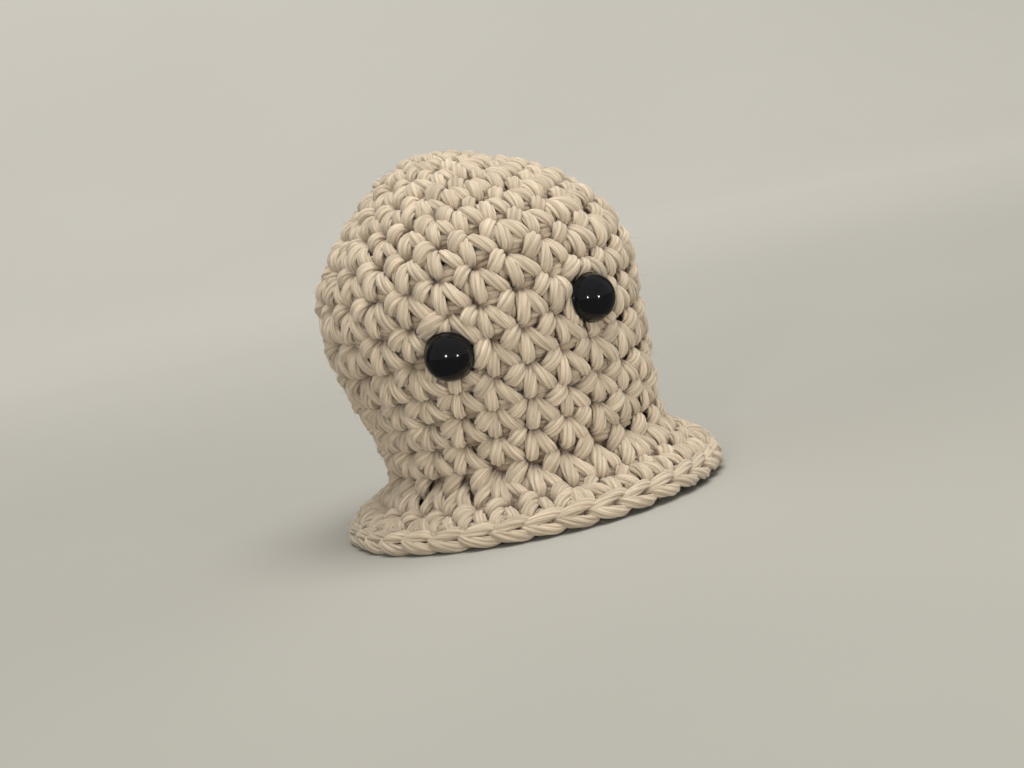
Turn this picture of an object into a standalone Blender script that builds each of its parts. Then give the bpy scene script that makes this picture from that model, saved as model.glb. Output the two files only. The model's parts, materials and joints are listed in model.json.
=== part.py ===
"""Crocheted ghost-like amigurumi doll, about 61 mm tall, with two 8 mm safety eyes.

Metres, +Z up. The origin is the centre of the flat underside, and the face looks
along -Y. Left and right are the viewer's, from the front.
"""

import math

import bmesh
import bpy
from mathutils import Matrix, Vector

# Heights, measured along the doll's own axis, which bends to the left.
CROWN_HEIGHT = 0.0613
WIDEST_HEIGHT = 0.0367
EYE_HEIGHT = 0.0321
NECK_HEIGHT = 0.0099
BRIM_EDGE_HEIGHT = 0.0043
BEND_START_HEIGHT = 0.0111
BEND_END_HEIGHT = 0.0276
LEAN_ANGLE = math.radians(9)

# The brim and its crease with the neck sit higher on the right than on the left.
NECK_SKEW = 0.0012
SKEW_END_HEIGHT = 0.0198

# The stuffing pushes the very top over to the left and rounds the shoulders below it.
CROWN_SHIFT = 0.0021
SHOULDER_SWELL = 0.0015

# Radii of the outline, over the yarn.
HEAD_RADIUS = 0.0269
NECK_RADIUS = 0.0237
BRIM_RADIUS = 0.0318

# The dome of the head is a superellipse: 2 is an ellipse, less is more pointed.
CROWN_ROUNDNESS = 1.61
# How late the flare of the brim turns outwards: 1 is a cone.
FLARE_POWER = 1.48

# Crocheted fabric.
FABRIC_WALL = 0.0040
ROUND_COUNT = 14
BRIM_ROUND_COUNT = 2
STITCH_COUNT = 24
STITCHES_ADDED_PER_ROUND = 6
STITCH_RELIEF = 0.0006
CREST_SHARE = 0.05
ROUND_RELIEF = 0.0010
FOOT_OUTER_RADIUS = 0.0302
FOOT_INNER_RADIUS = 0.0268

# Base disc and the yarn that sews it in.
BASE_DISC_RADIUS = 0.0214
BASE_DISC_THICKNESS = 0.0034
BASE_DISC_ROUNDING = 0.0010
SEAM_YARN_RADIUS = 0.0008
SEAM_SWING = 0.0007
SEAM_STITCH_COUNT = 30

# Safety eyes: dome and post are one moulding, and the washer grips the post's ribs.
EYE_AZIMUTH = math.radians(28)
EYE_RADIUS = 0.0040
EYE_RIM_HEIGHT = 0.0006
EYE_DOME_HEIGHT = 0.0036
EYE_SINK = 0.0009
POST_RADIUS = 0.0014
POST_RIB_RADIUS = 0.0017
POST_RIB_PITCH = 0.0016
POST_LENGTH = 0.0110
POST_TIP_LENGTH = 0.0012
WASHER_RADIUS = 0.0045
WASHER_THICKNESS = 0.0012
WASHER_HUB_RADIUS = 0.0028
WASHER_HUB_HEIGHT = 0.0010

# Clearance between pieces that touch, and how far a cut runs past what it cuts.
CLEARANCE = 0.0003
OVERRUN = 0.0020

# Facets.
SHARP_ANGLE = math.radians(60)
SEGMENTS = 4 * STITCH_COUNT
ROUND_PIECES = 2
FINE_STEPS = 240
INNER_STEPS = 16
SMALL_SEGMENTS = 28
SEAM_SIDES = 5
SEAM_POINTS_PER_STITCH = 4
DOME_STEPS = 8

# Name, colour, roughness and metallic value of each material.
COTTON = ("cream_cotton", (0.66, 0.57, 0.45, 1), 0.9, 0)
SEWING_COTTON = ("sewing_cotton", (0.62, 0.53, 0.41, 1), 0.9, 0)
FIBREFILL = ("white_fibrefill", (0.86, 0.86, 0.84, 1), 1, 0)
BLACK_PLASTIC = ("black_plastic", (0.01, 0.01, 0.012, 1), 0.12, 0)
WASHER_PLASTIC = ("washer_plastic", (0.75, 0.75, 0.72, 1), 0.4, 0)


def clear_scene():
    for thing in list(bpy.data.objects):
        bpy.data.objects.remove(thing, do_unlink=True)


def make_material(name, colour, roughness, metallic):
    material = bpy.data.materials.new(name)
    material.use_nodes = True
    shader = material.node_tree.nodes["Principled BSDF"]
    shader.inputs["Base Color"].default_value = colour
    shader.inputs["Roughness"].default_value = roughness
    shader.inputs["Metallic"].default_value = metallic
    return material


def lean_frame(height):
    """The bent axis at a height: its point, and the direction that was +X."""
    reach = BEND_END_HEIGHT - BEND_START_HEIGHT
    share = min(max((height - BEND_START_HEIGHT) / reach, 0), 1)
    lean = LEAN_ANGLE * share
    bend_radius = reach / LEAN_ANGLE
    straight = max(height - BEND_END_HEIGHT, 0)
    sideways = bend_radius * (1 - math.cos(lean)) + straight * math.sin(lean)
    upright = bend_radius * math.sin(lean) + straight * math.cos(lean)
    point = Vector((-sideways, 0, min(height, BEND_START_HEIGHT) + upright))
    across = Vector((math.cos(lean), 0, math.sin(lean)))
    return point, across


def share_up_the_dome(height):
    """0 up to the widest place of the head, 1 at the crown."""
    return min(max((height - WIDEST_HEIGHT) / (CROWN_HEIGHT - WIDEST_HEIGHT), 0), 1)


def bent_point(radius, azimuth, height):
    """A place on the leaning doll. Azimuth 0 is the face, and it grows to the right."""
    rise = NECK_SKEW * math.sin(math.pi * min(height / SKEW_END_HEIGHT, 1))
    height += rise * math.sin(azimuth) * radius / NECK_RADIUS
    centre, across = lean_frame(height)
    forwards = Vector((0, -1, 0))
    shift = Vector((-CROWN_SHIFT * share_up_the_dome(height) ** 2, 0, 0))
    return centre + shift + radius * (math.sin(azimuth) * across + math.cos(azimuth) * forwards)


def upright_point(radius, azimuth, height):
    """A place in the foot, where nothing leans."""
    return Vector((radius * math.sin(azimuth), -radius * math.cos(azimuth), height))


def outline_radius(height):
    """Outer radius at a height on the axis, from the brim's upper edge to the crown."""
    if height >= WIDEST_HEIGHT:
        share = share_up_the_dome(height)
        dome = max(1 - share ** CROWN_ROUNDNESS, 0) ** (1 / CROWN_ROUNDNESS)
        return dome * (HEAD_RADIUS + SHOULDER_SWELL * math.sin(math.pi * share) ** 2)
    if height >= NECK_HEIGHT:
        share = (WIDEST_HEIGHT - height) / (WIDEST_HEIGHT - NECK_HEIGHT)
        swell = (1 + math.cos(math.pi * share)) / 2
        return NECK_RADIUS + (HEAD_RADIUS - NECK_RADIUS) * swell
    share = (NECK_HEIGHT - height) / (NECK_HEIGHT - BRIM_EDGE_HEIGHT)
    return NECK_RADIUS + (BRIM_RADIUS - NECK_RADIUS) * share ** FLARE_POWER


def fine_outline():
    """Closely spaced points of the outline, from the crown down to the brim."""
    points = []
    for step in range(FINE_STEPS + 1):
        angle = math.pi / 2 * step / FINE_STEPS
        height = WIDEST_HEIGHT + (CROWN_HEIGHT - WIDEST_HEIGHT) * math.cos(angle)
        points.append((outline_radius(height), height))
    for step in range(1, FINE_STEPS + 1):
        height = WIDEST_HEIGHT - (WIDEST_HEIGHT - BRIM_EDGE_HEIGHT) * step / FINE_STEPS
        points.append((outline_radius(height), height))
    return points


def spaced_points(points, count):
    """The given number of points at equal distances along a line of points."""
    lengths = [0]
    for before, after in zip(points, points[1:]):
        lengths.append(lengths[-1] + math.dist(before, after))
    result = []
    place = 0
    for step in range(count):
        target = lengths[-1] * step / (count - 1)
        while place < len(points) - 2 and lengths[place + 1] < target:
            place += 1
        share = (target - lengths[place]) / (lengths[place + 1] - lengths[place])
        before, after = points[place], points[place + 1]
        result.append(tuple(a + (b - a) * share for a, b in zip(before, after)))
    return result


def outward_normals(points):
    """Unit vectors that point out of a line of points that runs down its outer side."""
    normals = []
    for place in range(len(points)):
        before = points[max(place - 1, 0)]
        after = points[min(place + 1, len(points) - 1)]
        along = Vector((after[0] - before[0], after[1] - before[1])).normalized()
        normals.append(Vector((-along.y, along.x)))
    return normals


def stitches_in_round(number):
    """The crown grows by some stitches each round to the full count, and so does the brim."""
    brim_round = max(number - ROUND_COUNT + BRIM_ROUND_COUNT, 0)
    crown = min(number * STITCHES_ADDED_PER_ROUND, STITCH_COUNT)
    return crown + brim_round * STITCHES_ADDED_PER_ROUND


def stitch_depth(station, segment):
    """How deep the surface is pressed in: most between rounds, less between stitches."""
    if station % ROUND_PIECES == 0:
        return ROUND_RELIEF
    number = station // ROUND_PIECES + 1
    phase = stitches_in_round(number) * math.tau * segment / SEGMENTS + math.pi * number
    return STITCH_RELIEF * (1 - math.cos(phase)) / 2


def outer_ring(station, point, normal):
    """One ring of the outer surface, pressed in by each stitch's depth."""
    ring = []
    for segment in range(SEGMENTS):
        depth = stitch_depth(station, segment)
        radius = point[0] - normal.x * depth
        height = point[1] - normal.y * depth
        ring.append(bent_point(radius, math.tau * segment / SEGMENTS, height))
    return ring


def split_at_crests(bm, crests):
    """Splits the faces round each stitch's crest so that all its edges start there."""
    bm.verts.ensure_lookup_table()
    for crest in [bm.verts[index] for index in crests]:
        for face in [face for face in crest.link_faces if len(face.verts) == 4]:
            corner = list(face.verts).index(crest)
            bmesh.utils.face_split(face, crest, face.verts[corner - 2])


def plain_ring(radius, height, segments=SEGMENTS, placing=bent_point):
    return [placing(radius, math.tau * segment / segments, height) for segment in range(segments)]


def brim_edge_points():
    """The braided edge of the brim, from its upper side to the flat foot."""
    bulge = BRIM_EDGE_HEIGHT / 2
    points = []
    for step in (1, 2, 3):
        angle = math.pi * step / 4
        swell = (BRIM_RADIUS - FOOT_OUTER_RADIUS) * math.sin(angle)
        height = bulge + bulge * math.cos(angle)
        points.append((FOOT_OUTER_RADIUS + swell, height))
    points.append((FOOT_OUTER_RADIUS, 0))
    points.append((FOOT_INNER_RADIUS, 0))
    return points


def seam_centre_radius():
    """The sewing yarn lies between the disc's edge and the shell."""
    return BASE_DISC_RADIUS + CLEARANCE + SEAM_SWING + SEAM_YARN_RADIUS


def seam_centre_height():
    return CLEARANCE + SEAM_YARN_RADIUS


def socket_points():
    """The shell's underside, where the sewing yarn and the disc fit into it."""
    groove_radius = seam_centre_radius() + SEAM_SWING + SEAM_YARN_RADIUS + CLEARANCE
    groove_top = seam_centre_height() + SEAM_YARN_RADIUS + CLEARANCE
    socket_radius = BASE_DISC_RADIUS + CLEARANCE
    socket_top = BASE_DISC_THICKNESS + CLEARANCE
    return [(groove_radius, CLEARANCE), (groove_radius, groove_top),
            (socket_radius, groove_top), (socket_radius, socket_top)]


def inner_points(margin):
    """The inside of the fabric, from the socket up to the crown, moved in by a margin."""
    outline = spaced_points(fine_outline(), INNER_STEPS * 3)
    normals = outward_normals(outline)
    inside = []
    for point, normal in zip(outline, normals):
        radius = point[0] - normal.x * (FABRIC_WALL + margin)
        height = point[1] - normal.y * (FABRIC_WALL + margin)
        if radius > FABRIC_WALL / 2 and height > NECK_HEIGHT - FABRIC_WALL / 2:
            inside.append((radius, height))
    inside = spaced_points(inside[::-1], INNER_STEPS)
    crown = (0, CROWN_HEIGHT - FABRIC_WALL - margin)
    return inside + [crown]


def finish_object(name, bm, material, location=(0, 0, 0)):
    """Turns a bmesh in world coordinates into an object with its origin at a place."""
    bmesh.ops.translate(bm, verts=bm.verts, vec=-Vector(location))
    bmesh.ops.recalc_face_normals(bm, faces=bm.faces)
    mesh = bpy.data.meshes.new(name)
    bm.to_mesh(mesh)
    bm.free()
    mesh.shade_smooth()
    mesh.set_sharp_from_angle(angle=SHARP_ANGLE)
    piece = bpy.data.objects.new(name, mesh)
    piece.location = location
    piece.data.materials.append(material)
    bpy.context.collection.objects.link(piece)
    return piece


def skin_rings(rings, start, end):
    """A closed body from a start point, through rings of points, to an end point."""
    bm = bmesh.new()
    start_vert = bm.verts.new(start)
    loops = [[bm.verts.new(point) for point in ring] for ring in rings]
    end_vert = bm.verts.new(end)
    count = len(loops[0])
    for near in range(count):
        far = (near + 1) % count
        bm.faces.new((start_vert, loops[0][near], loops[0][far]))
        for upper, lower in zip(loops, loops[1:]):
            bm.faces.new((upper[near], lower[near], lower[far], upper[far]))
        bm.faces.new((end_vert, loops[-1][far], loops[-1][near]))
    return bm


def turned_body(profile, placing, segments=SMALL_SEGMENTS):
    """Turns (radius, height) points, with both ends on the axis, and places the body."""
    rings = []
    for radius, height in profile[1:-1]:
        ring = []
        for segment in range(segments):
            angle = math.tau * segment / segments
            ring.append(placing @ Vector((radius * math.cos(angle), radius * math.sin(angle), height)))
        rings.append(ring)
    start = placing @ Vector((0, 0, profile[0][1]))
    end = placing @ Vector((0, 0, profile[-1][1]))
    return skin_rings(rings, start, end)


def cut_with(piece, profile, placing, name):
    """Cuts a turned shape out of a piece."""
    cutter = finish_object(name, turned_body(profile, placing), piece.active_material)
    cutter.hide_render = True
    cutter.display_type = "WIRE"
    cut = piece.modifiers.new(name, "BOOLEAN")
    cut.operation = "DIFFERENCE"
    cut.solver = "EXACT"
    cut.object = cutter


def eye_placing(side):
    """Where an eye sits: +Z leaves the head squarely, and the origin is the dome's back."""
    azimuth = side * EYE_AZIMUTH
    surface = outline_radius(EYE_HEIGHT) - EYE_SINK
    widening = outline_radius(EYE_HEIGHT + OVERRUN) - outline_radius(EYE_HEIGHT - OVERRUN)
    drop = EYE_RADIUS * widening / (2 * OVERRUN)
    place = bent_point(surface, azimuth, EYE_HEIGHT)
    ahead = bent_point(surface + EYE_RADIUS, azimuth, EYE_HEIGHT - drop)
    outwards = (ahead - place).normalized()
    turn = outwards.to_track_quat("Z", "Y").to_matrix().to_4x4()
    return Matrix.Translation(place) @ turn


def washer_face_depth():
    """How far below the dome's back the washer's fabric side lies.

    The washer is flat and the inside of the head is round, so its edge touches first.
    """
    inner_radius = outline_radius(EYE_HEIGHT) - FABRIC_WALL
    hollow = inner_radius - math.sqrt(inner_radius ** 2 - WASHER_RADIUS ** 2)
    return FABRIC_WALL - EYE_SINK + hollow + CLEARANCE


def post_profile():
    """The post from its tip to the dome's back: a bullet tip, then ribs."""
    points = [(0, -POST_LENGTH), (POST_RADIUS / 2, -POST_LENGTH)]
    points.append((POST_RADIUS, POST_TIP_LENGTH - POST_LENGTH))
    count = int((POST_LENGTH - POST_TIP_LENGTH) / POST_RIB_PITCH) - 1
    for rib in range(count):
        foot = POST_TIP_LENGTH - POST_LENGTH + rib * POST_RIB_PITCH
        points.append((POST_RIB_RADIUS, foot + POST_RIB_PITCH / 3))
        points.append((POST_RIB_RADIUS, foot + POST_RIB_PITCH * 2 / 3))
        points.append((POST_RADIUS, foot + POST_RIB_PITCH))
    return points


def make_eye(name, side, material):
    """A domed eye whose ribbed post goes through the fabric."""
    profile = post_profile()
    profile += [(POST_RADIUS, 0), (EYE_RADIUS, 0), (EYE_RADIUS, EYE_RIM_HEIGHT)]
    for step in range(1, DOME_STEPS):
        angle = math.pi / 2 * step / DOME_STEPS
        height = EYE_RIM_HEIGHT + EYE_DOME_HEIGHT * math.sin(angle)
        profile.append((EYE_RADIUS * math.cos(angle), height))
    profile.append((0, EYE_RIM_HEIGHT + EYE_DOME_HEIGHT))
    placing = eye_placing(side)
    bm = turned_body(profile, placing)
    return finish_object(name, bm, material, placing.translation)


def make_washer(name, side, material):
    """A flat washer with a hub, pushed onto the post inside the head."""
    bore = POST_RIB_RADIUS + CLEARANCE
    face = -washer_face_depth()
    back = face - WASHER_THICKNESS
    hub = back - WASHER_HUB_HEIGHT
    section = [(bore, face), (WASHER_RADIUS, face), (WASHER_RADIUS, back),
               (WASHER_HUB_RADIUS, back), (WASHER_HUB_RADIUS, hub), (bore, hub)]
    placing = eye_placing(side)
    bm = bmesh.new()
    loops = []
    for radius, height in section:
        loop = []
        for segment in range(SMALL_SEGMENTS):
            angle = math.tau * segment / SMALL_SEGMENTS
            place = Vector((radius * math.cos(angle), radius * math.sin(angle), height))
            loop.append(bm.verts.new(placing @ place))
        loops.append(loop)
    for number, loop in enumerate(loops):
        following = loops[(number + 1) % len(loops)]
        for near in range(SMALL_SEGMENTS):
            far = (near + 1) % SMALL_SEGMENTS
            bm.faces.new((loop[near], following[near], following[far], loop[far]))
    return finish_object(name, bm, material, placing.translation)


def make_shell(material):
    """The crocheted fabric of head, neck and brim, hollow, with a hole for each post."""
    count = ROUND_COUNT * ROUND_PIECES
    outline = spaced_points(fine_outline(), count + 1)
    normals = outward_normals(outline)
    rings = []
    crests = []
    for station in range(1, count + 1):
        rings.append(outer_ring(station, outline[station], normals[station]))
        for segment in range(SEGMENTS):
            if stitch_depth(station, segment) < STITCH_RELIEF * CREST_SHARE:
                crests.append(1 + (station - 1) * SEGMENTS + segment)
    for radius, height in brim_edge_points():
        rings.append(plain_ring(radius, height))
    for radius, height in socket_points():
        rings.append(plain_ring(radius, height, placing=upright_point))
    for radius, height in inner_points(0)[:-1]:
        rings.append(plain_ring(radius, height))
    crown = bent_point(0, 0, CROWN_HEIGHT)
    inner_crown = bent_point(0, 0, CROWN_HEIGHT - FABRIC_WALL)
    bm = skin_rings(rings, crown, inner_crown)
    split_at_crests(bm, crests)
    shell = finish_object("crochet_shell", bm, material)
    hole = POST_RIB_RADIUS + CLEARANCE
    pocket = EYE_RADIUS + CLEARANCE
    for side, name in ((-1, "hole_left"), (1, "hole_right")):
        profile = [(0, -FABRIC_WALL - OVERRUN), (hole, -FABRIC_WALL - OVERRUN), (hole, -CLEARANCE),
                   (pocket, -CLEARANCE), (pocket, OVERRUN), (0, OVERRUN)]
        cut_with(shell, profile, eye_placing(side), name)
    return shell


def make_stuffing(material):
    """Fibrefill that fills the shell, with room for the posts and the washers."""
    points = inner_points(CLEARANCE)
    floor_height = BASE_DISC_THICKNESS + CLEARANCE
    segments = SEGMENTS // 2
    rings = [plain_ring(points[0][0], floor_height, segments, upright_point)]
    for radius, height in points[:-1]:
        rings.append(plain_ring(radius, height, segments))
    start = upright_point(0, 0, floor_height)
    end = bent_point(0, 0, points[-1][1])
    stuffing = finish_object("stuffing", skin_rings(rings, start, end), material)
    room = WASHER_RADIUS + CLEARANCE
    hub_end = -washer_face_depth() - WASHER_THICKNESS - WASHER_HUB_HEIGHT - CLEARANCE
    post_room = POST_RIB_RADIUS + CLEARANCE
    post_end = -POST_LENGTH - CLEARANCE
    for side, name in ((-1, "room_left"), (1, "room_right")):
        profile = [(0, post_end), (post_room, post_end), (post_room, hub_end),
                   (room, hub_end), (room, 0), (0, 0)]
        cut_with(stuffing, profile, eye_placing(side), name)
    return stuffing


def make_base_disc(material):
    """A crocheted disc, flat underneath, with a rounded edge."""
    profile = [(0, 0), (BASE_DISC_RADIUS - BASE_DISC_ROUNDING, 0)]
    for step in (1, 2):
        angle = math.pi / 2 * step / 2
        inset = BASE_DISC_ROUNDING * (1 - math.sin(angle))
        profile.append((BASE_DISC_RADIUS - inset, BASE_DISC_ROUNDING * (1 - math.cos(angle))))
    profile.append((BASE_DISC_RADIUS, BASE_DISC_THICKNESS - BASE_DISC_ROUNDING))
    profile.append((BASE_DISC_RADIUS - BASE_DISC_ROUNDING, BASE_DISC_THICKNESS))
    profile.append((0, BASE_DISC_THICKNESS))
    bm = turned_body(profile, Matrix.Identity(4), SEGMENTS)
    return finish_object("base_disc", bm, material)


def make_seam_yarn(material):
    """A ring of whip stitches: one yarn that swings between the disc and the shell."""
    count = SEAM_STITCH_COUNT * SEAM_POINTS_PER_STITCH
    bm = bmesh.new()
    loops = []
    for step in range(count):
        azimuth = math.tau * step / count
        swing = SEAM_SWING * math.sin(SEAM_STITCH_COUNT * azimuth)
        loop = []
        for side in range(SEAM_SIDES):
            angle = math.tau * side / SEAM_SIDES
            radius = seam_centre_radius() + swing + SEAM_YARN_RADIUS * math.cos(angle)
            height = seam_centre_height() + SEAM_YARN_RADIUS * math.sin(angle)
            loop.append(bm.verts.new(upright_point(radius, azimuth, height)))
        loops.append(loop)
    for number, loop in enumerate(loops):
        following = loops[(number + 1) % count]
        for near in range(SEAM_SIDES):
            far = (near + 1) % SEAM_SIDES
            bm.faces.new((loop[near], following[near], following[far], loop[far]))
    return finish_object("base_seam_yarn", bm, material)


def main():
    clear_scene()
    cotton = make_material(*COTTON)
    make_shell(cotton)
    make_stuffing(make_material(*FIBREFILL))
    make_base_disc(cotton)
    make_seam_yarn(make_material(*SEWING_COTTON))
    black = make_material(*BLACK_PLASTIC)
    washer = make_material(*WASHER_PLASTIC)
    for side, name in ((-1, "left"), (1, "right")):
        make_eye("eye_" + name, side, black)
        make_washer("washer_" + name, side, washer)


main()
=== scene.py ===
import json
import math

import bpy
import numpy as np
from mathutils import Matrix, Vector


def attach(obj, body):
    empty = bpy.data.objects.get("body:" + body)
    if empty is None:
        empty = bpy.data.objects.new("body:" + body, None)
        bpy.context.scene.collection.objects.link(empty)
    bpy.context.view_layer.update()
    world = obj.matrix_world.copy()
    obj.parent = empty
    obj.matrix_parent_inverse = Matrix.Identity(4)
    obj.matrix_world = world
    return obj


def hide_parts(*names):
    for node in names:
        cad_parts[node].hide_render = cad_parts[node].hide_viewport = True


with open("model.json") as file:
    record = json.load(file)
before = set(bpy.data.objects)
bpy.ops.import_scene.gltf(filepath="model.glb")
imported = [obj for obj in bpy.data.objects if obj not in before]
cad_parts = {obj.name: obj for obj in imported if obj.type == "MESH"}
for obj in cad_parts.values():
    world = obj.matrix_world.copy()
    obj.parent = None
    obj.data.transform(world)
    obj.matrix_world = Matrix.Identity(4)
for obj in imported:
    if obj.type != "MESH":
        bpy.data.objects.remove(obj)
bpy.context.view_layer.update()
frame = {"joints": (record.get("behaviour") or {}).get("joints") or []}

# The doll's outline, as in the part: metres, one angle and two powers.
CROWN_HEIGHT = 0.0613
WIDEST_HEIGHT = 0.0367
NECK_HEIGHT = 0.0099
BRIM_EDGE_HEIGHT = 0.0043
BEND_START_HEIGHT = 0.0111
BEND_END_HEIGHT = 0.0276
LEAN_ANGLE = math.radians(9)
NECK_SKEW = 0.0012
SKEW_END_HEIGHT = 0.0198
CROWN_SHIFT = 0.0021
SHOULDER_SWELL = 0.0015
HEAD_RADIUS = 0.0269
NECK_RADIUS = 0.0237
BRIM_RADIUS = 0.0318
CROWN_ROUNDNESS = 1.61
FLARE_POWER = 1.48

# The yarn: its plies, how fast they turn, the points and rings of its mesh, its streaks, and
# how near it comes to the doll's axis and to the floor.
MM = 0.001
YARN_RADIUS = 0.99 * MM
YARN_FLATNESS = 0.9
PLY_COUNT = 6
PLY_POINTS = 6
PLY_GROOVE_SHARE = 0.27
PLY_ROUNDNESS = 0.55
TWIST_PITCH = 20 * MM
RINGS_PER_STRAND = 24
SIDE_RINGS = 18
HIDDEN_RINGS = 12
LINK_RINGS = 30
STREAKS_PER_METRE = 100
STREAK_SEEDS = 37
LEAST_RADIUS = 0.00005
FLOOR_CLEARANCE = 0.02 * MM

# The rounds: stitches in each, and the arc length from the crown at which each begins and the
# last one ends.
STITCHES_IN_ROUNDS = [6, 12, 18] + [24] * 9 + [30, 36]
EVEN_COUNT = 24
ROUND_STARTS = [
    0.0004, 0.0030, 0.0083, 0.0136, 0.0193,
    0.0251, 0.0313, 0.0378, 0.0438, 0.0498,
    0.0554, 0.0601, 0.0649, 0.0702, 0.0753,
]

# In stitch widths: from a stitch's root to its middle, and from there to its top.
LEG_MIDDLE = 0.41
TOP_OFFSET = 0.39

# A hole between stitches, seen in the photo, sets how the even rounds are turned. The rounds
# tilt, and their stitches are narrower in front: fully from the fourth round to the ninth.
HOLE_ROUND = 7
HOLE_AZIMUTH = math.radians(1.0)
ROW_TILT = 0.26
FRONT_TIGHTNESS = 0.05
TIGHT_ROUNDS_END = 11
TIGHT_ROUNDS_FADE = 3
SPIRAL_FADE = 2

# How uneven the strands are: along and down the round, depth (mm), thickness and slant.
# Part of it is shared by a stitch's strands.
UNEVEN_ALONG = 0.04
UNEVEN_DOWN = 0.04
UNEVEN_DEPTH = 0.18
UNEVEN_SHARE = 0.07
UNEVEN_SLANT = 0.11
SHARED_UNEVENNESS = 0.8
OWN_UNEVENNESS = 0.6

random_numbers = np.random.default_rng(11)


def dome_share(height):
    """0 up to the widest place of the head, 1 at the crown."""
    return np.clip((height - WIDEST_HEIGHT) / (CROWN_HEIGHT - WIDEST_HEIGHT), 0, 1)


def bent(radius, azimuth, height):
    """Points at a radius and azimuth at a height, with the lean and skew of the doll."""
    rise = NECK_SKEW * np.sin(np.pi * np.clip(height / SKEW_END_HEIGHT, 0, 1))
    height = height + rise * np.sin(azimuth) * radius / NECK_RADIUS
    shift = CROWN_SHIFT * dome_share(height) ** 2
    reach = BEND_END_HEIGHT - BEND_START_HEIGHT
    share = np.clip((height - BEND_START_HEIGHT) / reach, 0, 1)
    lean = LEAN_ANGLE * share
    bend_radius = reach / LEAN_ANGLE
    straight = np.maximum(height - BEND_END_HEIGHT, 0)
    sideways = bend_radius * (1 - np.cos(lean)) + straight * np.sin(lean)
    upright = bend_radius * np.sin(lean) + straight * np.cos(lean)
    x = -sideways - shift + radius * np.sin(azimuth) * np.cos(lean)
    y = -radius * np.cos(azimuth)
    z = np.minimum(height, BEND_START_HEIGHT) + upright + radius * np.sin(azimuth) * np.sin(lean)
    return np.stack([x, y, z], axis=-1)


def outline_radius(height):
    """The doll's radius at a height, from the crown to the brim's edge."""
    share = dome_share(height)
    crown = (1 - share**CROWN_ROUNDNESS) ** (1 / CROWN_ROUNDNESS)
    crown = crown * (HEAD_RADIUS + SHOULDER_SWELL * np.sin(np.pi * share) ** 2)
    share = np.clip((WIDEST_HEIGHT - height) / (WIDEST_HEIGHT - NECK_HEIGHT), 0, 1)
    waist = NECK_RADIUS + (HEAD_RADIUS - NECK_RADIUS) * (1 + np.cos(np.pi * share)) / 2
    share = np.clip((NECK_HEIGHT - height) / (NECK_HEIGHT - BRIM_EDGE_HEIGHT), 0, 1)
    flare = NECK_RADIUS + (BRIM_RADIUS - NECK_RADIUS) * share**FLARE_POWER
    return np.where(height > WIDEST_HEIGHT, crown, np.where(height > NECK_HEIGHT, waist, flare))


def make_profile():
    """Even arc lengths, radii, heights and smoothed outward normals along the outline."""
    crown_steps, lower_steps, even_steps, window = 500, 900, 1200, 41
    angles = np.linspace(0, np.pi / 2, crown_steps)
    crown = WIDEST_HEIGHT + (CROWN_HEIGHT - WIDEST_HEIGHT) * np.cos(angles)
    lower = np.linspace(WIDEST_HEIGHT, BRIM_EDGE_HEIGHT, lower_steps)[1:]
    height = np.concatenate([crown, lower])
    radius = outline_radius(height)
    radius[0] = 0
    step = np.hypot(np.diff(radius), np.diff(height))
    arc = np.concatenate([[0], np.cumsum(step)])
    even = np.linspace(0, arc[-1], even_steps)
    radius = np.interp(even, arc, radius)
    height = np.interp(even, arc, height)
    kernel = np.ones(window) / window
    slope_r = np.pad(np.gradient(radius, even), window // 2, mode="edge")
    slope_h = np.pad(np.gradient(height, even), window // 2, mode="edge")
    slope_r = np.convolve(slope_r, kernel, mode="valid")
    slope_h = np.convolve(slope_h, kernel, mode="valid")
    length = np.hypot(slope_r, slope_h)
    return even, radius, height, -slope_h / length, slope_r / length


PROFILE = make_profile()
ARC_LENGTH = PROFILE[0][-1]


def on_fabric(arc, azimuth, depth):
    """Points on the fabric: arc length from the crown, azimuth, and depth outwards."""
    even, radius, height, normal_r, normal_h = PROFILE
    over = np.maximum(arc - ARC_LENGTH, 0)
    arc = np.clip(arc, 0, ARC_LENGTH)
    r = np.interp(arc, even, radius)
    h = np.interp(arc, even, height)
    nr = np.interp(arc, even, normal_r)
    nh = np.interp(arc, even, normal_h)
    r = np.maximum(r + depth * nr + over * nh, LEAST_RADIUS)
    return bent(r, azimuth, h + depth * nh - over * nr)


def arc_of_round(place):
    """Arc length at a place counted in rounds."""
    marks = np.arange(len(ROUND_STARTS))
    inner = np.interp(place, marks, ROUND_STARTS)
    first = ROUND_STARTS[0] + (ROUND_STARTS[1] - ROUND_STARTS[0]) * place
    last = ROUND_STARTS[-1] + (ROUND_STARTS[-1] - ROUND_STARTS[-2]) * (place - marks[-1])
    return np.where(place < 0, first, np.where(place > marks[-1], last, inner))


def smooth_path(points, count):
    """Catmull-Rom samples through control points; points is (..., knots, channels)."""
    knots = points.shape[-2]
    first = 2 * points[..., :1, :] - points[..., 1:2, :]
    last = 2 * points[..., -1:, :] - points[..., -2:-1, :]
    padded = np.concatenate([first, points, last], axis=-2)
    place = np.linspace(0, knots - 1 - 1e-9, count)
    base = np.floor(place).astype(int)
    t = (place - base)[:, None]
    a = padded[..., base, :]
    b = padded[..., base + 1, :]
    c = padded[..., base + 2, :]
    d = padded[..., base + 3, :]
    square = 2 * a - 5 * b + 4 * c - d
    cube = 3 * b - a - 3 * c + d
    return 0.5 * (2 * b + (c - a) * t + square * t**2 + cube * t**3)


def unit(vectors):
    """The vectors at length 1."""
    return vectors / np.maximum(np.linalg.norm(vectors, axis=-1, keepdims=True), 1e-12)


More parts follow.
